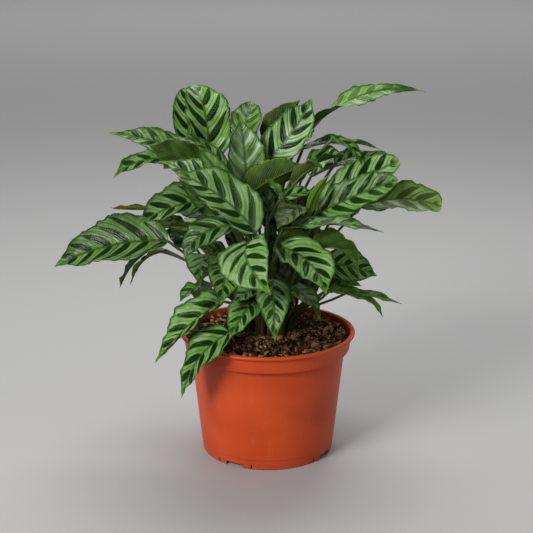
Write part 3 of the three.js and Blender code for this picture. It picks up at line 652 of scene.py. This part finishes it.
def upper_finish():
    f = Finish("leaf_upper", 0.3, specular=0.15)
    along, aside, half, seed, share, out, away, side = blade_terms(f)
    pitch, reach_of = f.value("bar_mm"), f.value("bar_reach")
    wobble = f.noise(along * 0.05, aside * 0.05, seed * 91, 1.0) - 0.5
    vein = vein_line(along, away, out, share) + wobble * 2
    bars = bar_turns(vein, pitch, seed, side)

    def bar(turns, widest, least, spread, key, keep):
        number = turns.op("FLOOR")
        off = abs(turns.op("FRACT") - 0.5)
        code = number + side * 57 + seed * 131 + key
        reach = reach_of * (code.random() * spread + least)
        swell = out.ramp(-0.02, 0.32) * 0.45 + 0.55
        falling = ((out / reach) ** 3 * -1 + 1).op("MAXIMUM", 0) ** 0.7
        kept = (code + 0.5).random().above(keep)
        width = swell * falling * ((code + 0.7).random() * 0.3 + 0.85) * widest * kept
        return (width - off) * pitch

    long_bar = bar(bars, widest=BAR_HALF_WIDTH, least=0.88, spread=0.16, key=0.0, keep=-1.0)
    slim_bar = bar(bars + 0.5, widest=0.04, least=0.4, spread=0.35, key=17.0, keep=0.85)
    depth = long_bar.op("MAXIMUM", slim_bar)
    fade = share.ramp(0.99, 0.9) * f.value("marked")
    dark = depth.ramp(-0.35, 0.35) * fade
    halo = depth.ramp(-1.3, 0.1) * fade

    streaks = f.noise(vein * 1.2, away * 0.07, seed * 31, rough=0.6)
    patches = f.noise(along * 0.08, aside * 0.08, seed * 47)
    # Painted highlight: white gleam streaked along the side veins
    gleam = f.noise(vein * 0.5, away * 0.04, seed * 71).ramp(0.45, 0.65) * f.value("gleam")
    pale = layered(
        paint(104, 148, 62),
        (patches.ramp(0.3, 0.7), 144, 180, 112),
        (streaks.ramp(0.4, 0.75) * 0.35, 78, 116, 44),
        (halo * 0.55, 42, 82, 14),
        (gleam, 196, 214, 188),
    )
    deep = layered(
        paint(10, 36, 4),
        (out.ramp(0.2, 0.75), 14, 50, 4),
        (streaks.ramp(0.4, 0.85) * 0.15, 30, 62, 18),
    )
    colour = layered(
        dark.mix(pale, deep),
        ((half - away).ramp(3.2, 0.5) * 0.85, 32, 78, 10),
        # Dark green band beside the rib: partly the leaf's own colour, partly painted shade of the rib's
        # groove
        (away.ramp(2.0, 0.6) * 0.75, 28, 66, 14),
        (away.ramp(0.45, 0.15) * 0.8, 84, 118, 44),
        (share.ramp(0.86, 0.985) * half.ramp(7.5, 3.5) * 0.7, 104, 154, 30),
        (share.ramp(0.985, 1.0) * 0.8, 166, 140, 40),
        ((seed * 11).random().ramp(0.2, 1.0) * 0.25, 36, 72, 20),
    )
    sheen = f.noise(along * 0.2, aside * 0.2, seed * 3)
    ridges = (vein * 1.75).op("SINE") * away.ramp(0.5, 4)
    fine = f.noise(vein * 0.8, away * 0.07, seed * 5, 1.0)
    relief = ridges * 0.06 + fine * 0.38 + dark * -0.06
    return f.finished(with_dryness_youth_and_painted_light(f, colour, share), sheen * 0.16 + 0.13, relief)


def under_finish():
    f = Finish("leaf_underside", 0.5, specular=0.18)
    along, aside, half, seed, share, out, away, side = blade_terms(f)
    vein = vein_line(along, away, out, share)
    patches = f.noise(along * 0.09, aside * 0.09, seed * 47)
    streaks = f.noise(vein * 0.9, away * 0.06, seed * 31, rough=0.6)
    pitch = f.value("bar_mm")
    turns = bar_turns(vein, pitch, seed, side)
    depth = (abs(turns.op("FRACT") - 0.5) * -1 + BAR_HALF_WIDTH) * pitch
    shadow = depth.ramp(-0.8, 0.8) * out.ramp(0.95, 0.75)
    lines = (vein * 2.4).op("SINE")
    colour = layered(
        paint(40, 70, 8),
        (patches.ramp(0.35, 0.65), 72, 106, 20),
        (streaks.ramp(0.35, 0.75) * 0.6, 34, 60, 10),
        (shadow * 0.45, 26, 50, 10),
        (lines.ramp(0.3, 1.0) * 0.3, 92, 122, 40),
        (away.ramp(3.0, 0.8) * 0.4, 84, 104, 34),
        ((half - away).ramp(1.1, 0.2) * 0.7, 108, 132, 40),
        (share.ramp(0.95, 0.995) * 0.8, 140, 132, 44),
    )
    fine = f.noise(vein * 2.2, away * 0.1, seed * 5, 3.0)
    return f.finished(with_dryness_youth_and_painted_light(f, colour, share), patches * 0.2 + 0.4, lines * 0.12 + fine * 0.25)


def petiole_finish():
    f = Finish("petiole", 0.42, specular=0.45)
    share, seed = f.value("stem_share"), f.value("seed")
    x, y, z = f.place()
    streaks = f.noise(x * 1.2, y * 1.2, z * 0.08, 3.0)
    colour = layered(
        paint(84, 40, 22),
        # Lower stem darker olive, partly its own colour and partly painted shade under the leaves; greener
        # towards the blade
        (share.ramp(0.03, 0.22), 58, 64, 22),
        (share.ramp(0.4, 0.95), 72, 98, 30),
        (streaks.ramp(0.4, 0.7) * 0.5, 36, 46, 14),
        ((seed * 19).random().ramp(0.5, 1.0) * 0.5, 44, 30, 16),
    )
    return f.finished(colour, streaks * 0.2 + 0.34, f.noise(x * 3, y * 3, z * 0.2) * 0.25)


# Leaves
def width_curve(t, taper):
    """Share of the full width at t along the rib"""
    widest = BASE_ROUNDNESS / (BASE_ROUNDNESS + taper)
    most = widest**BASE_ROUNDNESS * (1 - widest) ** taper
    return t**BASE_ROUNDNESS * (1 - t) ** taper / most


def blade(leaf):
    """Points and faces of a closed blade, with the coordinates its finish reads"""
    rows = int(min(ROWS_MOST, max(ROWS_LEAST, leaf.length / CELL_LENGTH)))
    u = np.linspace(FIRST_ROW, LAST_ROW, rows)
    t = 0.5 * u + 0.25 * (1 - np.cos(np.pi * u))
    s = np.linspace(-1, 1, CELLS_ACROSS + 1)
    a = np.sign(s) * (0.6 * abs(s) + 0.4 * np.sin(abs(s) * np.pi / 2))
    centre = bezier(leaf.rib, t)
    tangent = bezier_tangent(leaf.rib, t)
    up = unit(leaf.facing - np.sum(leaf.facing * tangent, 1, keepdims=True) * tangent)
    up = turned_about(up, tangent, -np.radians(leaf.twist) * (1 - t) ** 2)
    side = np.cross(tangent, up)
    tail = np.clip((t - TAIL_START) / TAIL_LENGTH, 0, 1)
    drawn = 1 - TAIL_DRAW * tail**2 * (3 - 2 * tail) * (leaf.taper == TIP_TAPER)
    half = np.maximum(TIP_HALF_WIDTH, leaf.width / 2 * width_curve(t, leaf.taper) * drawn)
    along = leaf.length * t

    T, A = np.meshgrid(t, a, indexing="ij")
    edge_wave = np.sin(along[:, None] * SCALLOP_WAVES[0] + leaf.phase + A)
    edge_wave = edge_wave + SECOND_WAVE * np.sin(along[:, None] * SCALLOP_WAVES[1] - 2 * A)
    H = half[:, None] * (1 + SCALLOP * edge_wave * np.sin(np.pi * T))
    fold = np.radians(leaf.fold)
    calm = np.sin(np.pi * np.minimum(1, T + CALM_START)) ** 0.5
    shift = np.where(A > 0, WAVE_SHIFT, 0)
    ripple = np.sin(2 * np.pi * WAVES_PER_BLADE * T + leaf.phase + shift)
    height = H * np.sin(fold) * A**2 + leaf.wave * calm * ripple * A**2
    away = abs(A) * H
    vein = vein_line(along[:, None], away, abs(A), T)
    ease = np.sin(np.pi * T) ** 0.5
    size = min(1.0, leaf.width / FULL_RELIEF_WIDTH)
    pleat = np.cos(2 * np.pi * (vein / leaf.bar + leaf.seed * SEED_TURNS))
    pleat = pleat * np.sqrt(abs(A)) * (1 - abs(A) ** 5)
    turns = [2 * np.pi * (along[:, None] / frill_length) for frill_length in FRILL_LENGTHS]
    frill = np.sin(turns[0] + shift * 1.7 + leaf.phase * 3)
    frill = frill + SECOND_WAVE * np.sin(turns[1] - shift * 2.9 + leaf.phase * 5)
    height = height + size * ease * (PLEAT_HEIGHT * pleat + FRILL_HEIGHT * frill * abs(A) ** 4)
    height = height - RIB_GROOVE * np.exp(-((away / RIB_GROOVE_WIDTH) ** 2)) * ease
    thick = BLADE_THICKNESS / 2 * (1 - abs(A) ** 4)

    back = leaf.lobe * A**2 * np.maximum(0, 1 - T / LOBE_REACH) ** 2

    def place(lift):
        out = side[:, None] * (H * A * np.cos(fold))[..., None]
        out = out - tangent[:, None] * back[..., None]
        return centre[:, None] + out + up[:, None] * (height + lift)[..., None]

    top, low = place(thick), place(-thick)
    columns = len(a)
    over = np.arange(rows * columns).reshape(rows, columns)
    under = np.empty_like(over)
    under[:, [0, -1]] = over[:, [0, -1]]
    under[:, 1:-1] = over.size + np.arange(rows * (columns - 2)).reshape(rows, -1)
    count = over.size + rows * (columns - 2)
    heel, point = count, count + 1
    points = np.vstack([top.reshape(-1, 3), low[:, 1:-1].reshape(-1, 3), leaf.base, leaf.tip])

    def sheet(index):
        faces = quads(index[:-1, :-1], index[:-1, 1:], index[1:, 1:], index[1:, :-1])
        for j in range(columns - 1):
            faces.append((heel, int(index[0, j + 1]), int(index[0, j])))
            faces.append((point, int(index[-1, j]), int(index[-1, j + 1])))
        return faces

    upper, lower = sheet(over), [f[::-1] for f in sheet(under)]

    def spread(numbers):
        """One number for each point of the blade"""
        numbers = np.broadcast_to(numbers, A.shape)
        ends = numbers[[0, -1], columns // 2]
        return np.hstack([numbers.reshape(-1), numbers[:, 1:-1].reshape(-1), ends])

    values = {
        "along_mm": spread(along[:, None]),
        "rib_share": spread(T),
        "across": spread(A),
        "half_mm": spread(H),
    }
    return points, upper, lower, values, (centre, side, up, t)


def spline(points, steps):
    """A smooth line through points, with steps pieces between each two"""
    points = np.asarray(points)
    before = np.vstack([2 * points[0] - points[1], points[:-2]])
    after = np.vstack([points[2:], 2 * points[-1] - points[-2]])
    u = np.linspace(0, 1, steps, endpoint=False)[None, :, None]
    p0, p1, p2, p3 = (v[:, None] for v in (before, points[:-1], points[1:], after))
    square = 2 * p0 - 5 * p1 + 4 * p2 - p3
    cubic = 3 * p1 - p0 - 3 * p2 + p3
    line = 0.5 * (2 * p1 + (p2 - p0) * u + square * u**2 + cubic * u**3)
    return np.vstack([line.reshape(-1, 3), points[-1]])


def petiole(root, path, blade_line):
    """A tube up into the blade, then tapering along the underside of its rib"""
    centre, side, up, t = blade_line
    stem = spline(np.vstack([root, path]), STEM_PIECES)
    steps = norm(np.diff(stem, axis=0), axis=1)
    share = np.hstack([[0], np.cumsum(steps)]) / steps.sum()
    picks = np.searchsorted(t, np.linspace(RIB_START, RIB_END, RIB_RINGS))
    taper = np.linspace(1, 0, RIB_RINGS) ** RIB_TAPER
    rib_radius = RIB_TIP_RADIUS + (RIB_BASE_RADIUS - RIB_TIP_RADIUS) * taper
    rib_drop = BLADE_THICKNESS / 2 + RIB_GROOVE + rib_radius * RIB_STAND_OFF
    rib = centre[picks] - up[picks] * rib_drop[:, None]
    line = np.vstack([stem, rib])
    stem_wide = np.interp(share, *zip(*STEM_RADII))
    stem_deep = stem_wide * np.interp(share, *zip(*STEM_DEPTHS))
    wide = np.hstack([stem_wide, rib_radius])
    deep = np.hstack([stem_deep, rib_radius])
    tangent = unit(np.gradient(line, axis=0))
    sides = np.empty_like(line)
    current = side[0]
    for k in range(len(line) - 1, -1, -1):
        current = unit(current - current.dot(tangent[k]) * tangent[k])
        sides[k] = current
    ups = np.cross(sides, tangent)
    points = tube_points(line, sides, ups, wide, deep, TUBE_SIDES)
    shares = np.repeat(np.hstack([share, 1 + np.linspace(0.05, 0.9, RIB_RINGS)]), TUBE_SIDES)
    return points, tube_faces(len(line), TUBE_SIDES), shares


def make_leaf(name, leaf, root, path, looks, replaced=()):
    """A leaf with its stem and the numbers that its finishes read"""
    points, upper, lower, values, line = blade(leaf)
    tube, tube_quads, shares = petiole(root, path, line)
    marks = [0] * len(upper) + [1] * len(lower) + [2] * len(tube_quads)
    values = {key: np.hstack([numbers, np.zeros(len(tube))]) for key, numbers in values.items()}
    values["stem_share"] = np.hstack([np.ones(len(points)), shares])
    points, faces = joined([(points, upper + lower), (tube, tube_quads)])
    for key, number in (
        ("seed", leaf.seed),
        ("bar_mm", leaf.bar),
        ("bar_reach", SHORT_BARS.get(leaf.number, BAR_REACH)),
        ("youth_and_painted_light", PAINTED_LIGHT_AND_YOUTH.get(leaf.number, 0)),
        ("dry", DRYNESS.get(leaf.number, 0)),
        ("gleam", GLEAMS.get(leaf.number, 0)),
        ("marked", MARKED.get(leaf.number, 1)),
    ):
        values[key] = np.full(len(points), float(number))
    return make_piece(name, points, faces, looks, replaced, marks, values)


# Pot
def rounded(profile):
    """A profile of (radius, height, fillet) corners with its fillets drawn as short arcs"""
    made = []
    places = [np.array(p[:2], float) for p in profile]
    for i, here in enumerate(places):
        fillet = profile[i][2]
        if not fillet or i in (0, len(profile) - 1):
            made.append(here)
            continue
        back, ahead = places[i - 1] - here, places[i + 1] - here
        reach = min(fillet, FILLET_LIMIT * norm(back), FILLET_LIMIT * norm(ahead))
        start, end = here + unit(back) * reach, here + unit(ahead) * reach
        for u in np.linspace(0, 1, FILLET_PIECES + 1):
            made.append((1 - u) ** 2 * start + 2 * u * (1 - u) * here + u**2 * end)
    return np.array(made)


def lathe(profile, sides):
    """A closed turned solid, from (radius, height) points that begin and end on the axis"""
    inner = profile[1:-1]
    angle = np.linspace(0, 2 * np.pi, sides, endpoint=False)
    ring = np.stack([np.cos(angle), np.sin(angle)], -1)
    rows = [np.column_stack([ring * r, np.full(sides, z)]) for r, z in inner]
    points = np.vstack([*rows, [[0, 0, profile[0][1]], [0, 0, profile[-1][1]]]])
    index = np.arange(len(inner) * sides).reshape(len(inner), sides)
    low, high = index[:-1], index[1:]
    faces = quads(low, np.roll(low, -1, 1), np.roll(high, -1, 1), high)
    first, last = len(points) - 2, len(points) - 1
    for k in range(sides):
        faces.append((first, int(index[0, (k + 1) % sides]), int(index[0, k])))
        faces.append((last, int(index[-1, k]), int(index[-1, (k + 1) % sides])))
    return points, faces


def body_radius(height):
    return BASE_RADIUS + (BODY_TOP_RADIUS - BASE_RADIUS) * height / STEP_BOTTOM


def pot_profile():
    """Corners from the axis under the foot, up the outside, over the lip and back inside"""
    inner_foot = BASE_RADIUS - 2 * POT_WALL
    lip_under = POT_HEIGHT - LIP_HEIGHT
    return rounded([
        (0, 0, 0),
        (CENTRE_DISC_RADIUS, 0, 0.5),
        (CENTRE_DISC_RADIUS + POT_WALL, CHANNEL_HEIGHT, 0.5),
        (inner_foot, CHANNEL_HEIGHT, 0.5),
        (inner_foot, 0, 0.4),
        (BASE_RADIUS, 0, 0.7),
        (body_radius(SEAM_HEIGHT), SEAM_HEIGHT, 0.3),
        (body_radius(SEAM_HEIGHT) + SEAM_RELIEF, SEAM_HEIGHT + SEAM_RELIEF, 0.3),
        (BODY_TOP_RADIUS - 0.3, STEP_BOTTOM - 3, 1.2),
        (BODY_TOP_RADIUS, STEP_BOTTOM, 0.5),
        (BAND_LOW_RADIUS - 0.5, BAND_BOTTOM - 0.3, 1.2),
        (BAND_LOW_RADIUS, BAND_BOTTOM + 0.8, 0.8),
        (BAND_TOP_RADIUS, lip_under - 0.6, 1.0),
        (LIP_RADIUS - 1.0, lip_under - 0.1, 0.6),
        (LIP_RADIUS, lip_under + 1, 0.8),
        (LIP_RADIUS - 0.3, POT_HEIGHT - 0.4, 0.9),
        (LIP_RADIUS - 1.6, POT_HEIGHT, 0.8),
        (BAND_TOP_RADIUS - POT_WALL + 1, POT_HEIGHT, 0.6),
        (BAND_TOP_RADIUS - POT_WALL, POT_HEIGHT - 1, 0.8),
        (BAND_LOW_RADIUS - POT_WALL, BAND_BOTTOM, 1),
        (BODY_TOP_RADIUS - POT_WALL, STEP_BOTTOM, 1),
        (body_radius(FLOOR_TOP) - POT_WALL, FLOOR_TOP, 1),
        (0, FLOOR_TOP, 0),
    ])


def foot_cutter(width, height, turn):
    """A block that cuts the foot ring at one place round the pot"""
    corners = CORNERS * (width / 2, DRAIN_CUT_DEPTH / 2, 1)
    corners[:, 1] -= BASE_RADIUS
    corners[:, 2] = np.where(CORNERS[:, 2] < 0, -DRAIN_CUT_BELOW, height)
    turn = math.radians(turn)
    c, s = math.cos(turn), math.sin(turn)
    corners[:, :2] = corners[:, :2] @ np.array(((c, s), (-s, c)))
    return corners, BLOCK_FACES


def make_pot(look):
    around = ((0, DRAIN_SLOT), (-DRAIN_SLIT_OFFSET, DRAIN_SLIT), (DRAIN_SLIT_OFFSET, DRAIN_SLIT))
    cuts = [foot_cutter(*size, turn + aside) for turn in DRAIN_TURNS for aside, size in around]
    cut_points, cut_faces = joined(cuts)
    cutter = added("cuts", bpy.data.meshes.new("cuts"))
    cutter.data.from_pydata((cut_points * MM).tolist(), [], cut_faces)
    points, faces = lathe(pot_profile(), POT_SIDES)
    pot = make_piece("pot_shell", points, faces, [look], ("pot",))
    cut = pot.modifiers.new("slots", "BOOLEAN")
    cut.operation = "DIFFERENCE"
    cut.solver = "EXACT"
    cut.object = cutter
    bpy.context.view_layer.update()
    graph = bpy.context.evaluated_depsgraph_get()
    mesh = bpy.data.meshes.new_from_object(pot.evaluated_get(graph))
    pot.modifiers.clear()
    pot.data = mesh
    mesh.polygons.foreach_set("use_smooth", [True] * len(mesh.polygons))
    mesh.set_sharp_from_angle(angle=math.radians(SHARP_EDGE))
    bpy.data.objects.remove(cutter)
    return pot


def pot_finish():
    f = Finish("pot_plastic", 0.42, specular=0.26)
    x, y, z = f.place()
    cloud = f.noise(x * 0.02, y * 0.02, z * 0.03)
    specks = f.noise(x * 0.9, y * 0.9, z * 0.9, 3.0)
    drift = f.noise(x * 0.25, y * 0.25, z * 0.04, 3.0)
    colour = layered(
        paint(190, 66, 24),
        (cloud.ramp(0.3, 0.7), 204, 76, 30),
        (specks.ramp(0.6, 0.85) * 0.25, 160, 54, 24),
        (drift.ramp(0.55, 0.8) * 0.18, 214, 104, 62),
        (z.ramp(14, 0) * specks.ramp(0.35, 0.7) * 0.35, 140, 84, 60),
    )
    grain = f.noise(x * 2.2, y * 2.2, z * 2.2, 3.0)
    return f.finished(colour, drift * 0.16 + 0.36, grain * 0.06 + cloud * 0.5)


# Soil
def soil_finish():
    f = Finish("soil_ground", 0.95, specular=0.05)
    x, y, z = f.place()
    clods = f.noise(x * 0.5, y * 0.5, z * 0.5, 4.0, 0.6)
    grains = f.noise(x * 2.4, y * 2.4, z * 2.4, 3.0)
    colour = layered(
        # Near-black ground between the bits: the soil's dark colour, darkened further as painted shade in
        # the gaps
        paint(6, 4, 2),
        (clods.ramp(0.3, 0.7), 26, 16, 9),
        (grains.ramp(0.5, 0.75), 62, 42, 26),
    )
    return f.finished(colour, grains * 0.2 + 0.75, clods * 1.6 + grains * 0.8)


def chip_finish():
    f = Finish("soil_chips", 0.85, specular=0.12)
    tone = f.value("tone")
    x, y, z = f.place()
    grain = f.noise(x * 1.8, y * 1.8, z * 1.8, 3.0)
    colour = layered(
        paint(14, 8, 4),
        (tone.ramp(0.0, 0.4), 96, 62, 34),
        (tone.ramp(0.36, 0.68), 184, 138, 92),
        (tone.ramp(0.84, 0.93), 238, 214, 174),
        (grain.ramp(0.4, 0.7) * 0.45, 24, 14, 8),
    )
    return f.finished(colour, grain * 0.2 + 0.7, grain * 0.5)


def make_soil(look):
    clear = POT_WALL + FIT_GAP
    edge = BAND_LOW_RADIUS - clear
    low = FLOOR_TOP + FIT_GAP
    profile = [
        (0, low),
        (body_radius(low) - clear, low),
        (BODY_TOP_RADIUS - clear, STEP_BOTTOM),
        (edge, BAND_BOTTOM + FIT_GAP),
        (edge, SOIL_EDGE_HEIGHT),
        *((edge * share, SOIL_CROWN_HEIGHT) for share in np.linspace(0.985, 0.01, SOIL_RINGS)),
        (0, SOIL_CROWN_HEIGHT),
    ]
    points, faces = lathe(profile, SOIL_SIDES)
    top = points[:, 2] >= SOIL_EDGE_HEIGHT
    x, y = points[top, 0], points[top, 1]
    clods = CLOD_HEIGHT * np.sin(x * 0.93 + 2 * np.sin(y * 0.51)) * np.cos(y * 0.87 + 1.3 * np.sin(x * 0.44))
    crumbs = CRUMB_HEIGHT * np.sin(x * 2.1 + y * 1.3) * np.cos(y * 2.3 - x * 0.7)
    fall = np.clip((edge - np.hypot(x, y)) / CLOD_MARGIN, 0, 1)
    points[top, 2] = soil_height(x, y) + (clods + crumbs) * fall
    return make_piece("soil_ground", points, faces, [look], ("soil",))


def chips(rng, count, low, high, tones):
    """Irregular chips on the soil, each a jittered block"""
    blocks, tone = [], []
    for _ in range(count):
        radius = BITS_REACH * math.sqrt(rng.uniform(0, 1))
        angle = rng.uniform(0, 2 * math.pi)
        x, y = radius * math.cos(angle), radius * math.sin(angle)
        long = low + (high - low) * rng.uniform(0, 1) ** 2.2
        size = long * np.array((1, rng.uniform(0.35, 0.8), rng.uniform(0.15, 0.4))) / 2
        shape = (CORNERS + rng.uniform(-CHIP_JITTER, CHIP_JITTER, CORNERS.shape)) * size
        spin, lean, roll = rng.uniform(0, 2 * math.pi), rng.normal(0, 0.55), rng.normal(0, 0.5)
        for axis_a, axis_b, turn in ((0, 1, spin), (0, 2, lean), (1, 2, roll)):
            c, s = math.cos(turn), math.sin(turn)
            shape[:, [axis_a, axis_b]] = shape[:, [axis_a, axis_b]] @ np.array(((c, s), (-s, c)))
        height = soil_height(x, y) + rng.uniform(-0.1, 1.3)
        blocks.append((shape + (x, y, height), BLOCK_FACES))
        tone += [rng.uniform(*tones)] * len(CORNERS)
    return *joined(blocks), np.array(tone)


def fibres(rng, count):
    """Thin root fibres and straws over the soil"""
    tubes, tone = [], []
    rings, sides = 7, 5
    for _ in range(count):
        radius = FIBRE_REACH * math.sqrt(rng.uniform(0, 1))
        angle, heading = rng.uniform(0, 2 * math.pi, 2)
        start = np.array((radius * math.cos(angle), radius * math.sin(angle)))
        length, bend = rng.uniform(4, 14), rng.normal(0, 0.5)
        line = [start]
        for _ in range(rings - 1):
            heading += bend / rings
            line.append(line[-1] + np.array((math.cos(heading), math.sin(heading))) * length / rings)
        line = np.array(line)
        keep = np.minimum(1, BITS_REACH / np.maximum(np.hypot(line[:, 0], line[:, 1]), 1e-6))
        line = line * keep[:, None]
        lift = soil_height(line[:, 0], line[:, 1]) + rng.uniform(0.5, 1.1)
        line = np.column_stack([line, lift + 0.5 * np.sin(np.linspace(0, 3.1, rings))])
        tangent = unit(np.gradient(line, axis=0) + 1e-6)
        side = unit(np.cross(tangent, (0, 0, 1.0)))
        thick = rng.uniform(0.12, 0.3) * np.sin(np.linspace(0.4, 2.7, rings))
        points = tube_points(line, side, np.cross(side, tangent), thick, thick, sides)
        tubes.append((points, tube_faces(rings, sides)))
        tone += [rng.uniform(0.5, 0.95)] * (rings * sides)
    return *joined(tubes), np.array(tone)


def make_soil_bits(look):
    rng = np.random.default_rng(BITS_SEED)
    for name, (points, faces, tone) in (
        ("soil_bark", chips(rng, *BARK)),
        ("soil_crumbs", chips(rng, *CRUMBS)),
        ("soil_fibres", fibres(rng, FIBRE_COUNT)),
    ):
        make_piece(name, points, faces, [look], values={"tone": tone})


# Stage
def make_stage():
    mesh = bpy.data.meshes.new("floor")
    corners = [(-1, -1), (1, -1), (1, 1), (-1, 1)]
    mesh.from_pydata([(x * FLOOR_HALF, y * FLOOR_HALF, 0) for x, y in corners], [], [(0, 1, 2, 3)])
    floor = added("floor", mesh)
    floor.location.z = -FLOOR_DROP
    f = Finish("floor_paint", 0.6, specular=0.3)
    f.set("Base Color", paint(168, 167, 166))
    mesh.materials.append(f.material)
    world = bpy.data.worlds.new("studio")
    world.use_nodes = True
    background = world.node_tree.nodes["Background"]
    background.inputs["Color"].default_value = paint(222, 224, 228)
    background.inputs["Strength"].default_value = WORLD_LIGHT
    SCENE.world = world


def soft_light(name, place, aim, size, power):
    light = bpy.data.lights.new(name, "AREA")
    light.size = size
    light.energy = power
    lamp = added(name, light)
    lamp.location = place
    x, y, z = np.subtract(aim, place)
    lamp.rotation_euler = (math.atan2(math.hypot(x, y), -z), 0, math.atan2(-x, y))


def make_camera():
    data = bpy.data.cameras.new("camera")
    data.lens = CAMERA_LENS
    data.sensor_width = CAMERA_SENSOR
    camera = added("camera", data)
    camera.location = CAMERA_PLACE
    camera.rotation_euler = (math.radians(CAMERA_TILT), 0, 0)
    bpy.context.scene.camera = camera


make_camera()
make_stage()
for light in LIGHTS:
    soft_light(*light)
bpy.context.scene.view_settings.view_transform = "Standard"

leaves = [Leaf(number, row) for number, row in enumerate(LEAVES, 1)]
roots = crown_roots(leaves)
paths = settle_stems([stem_path(leaf, root) for leaf, root in zip(leaves, roots)])
leaf_looks = [upper_finish(), under_finish(), petiole_finish()]
for leaf, root, path in zip(leaves, roots, paths):
    node = f"leaf_{leaf.number:02d}"
    make_leaf(f"{node}_fine", leaf, root, path, leaf_looks, (node,))
for number, row in enumerate(SMALL_LEAVES, len(LEAVES) + 1):
    leaf = Leaf(number, row)
    root = small_root(leaf)
    make_leaf(f"small_leaf_{number}", leaf, root, stem_path(leaf, root), leaf_looks)
make_pot(pot_finish())
make_soil(soil_finish())
make_soil_bits(chip_finish())
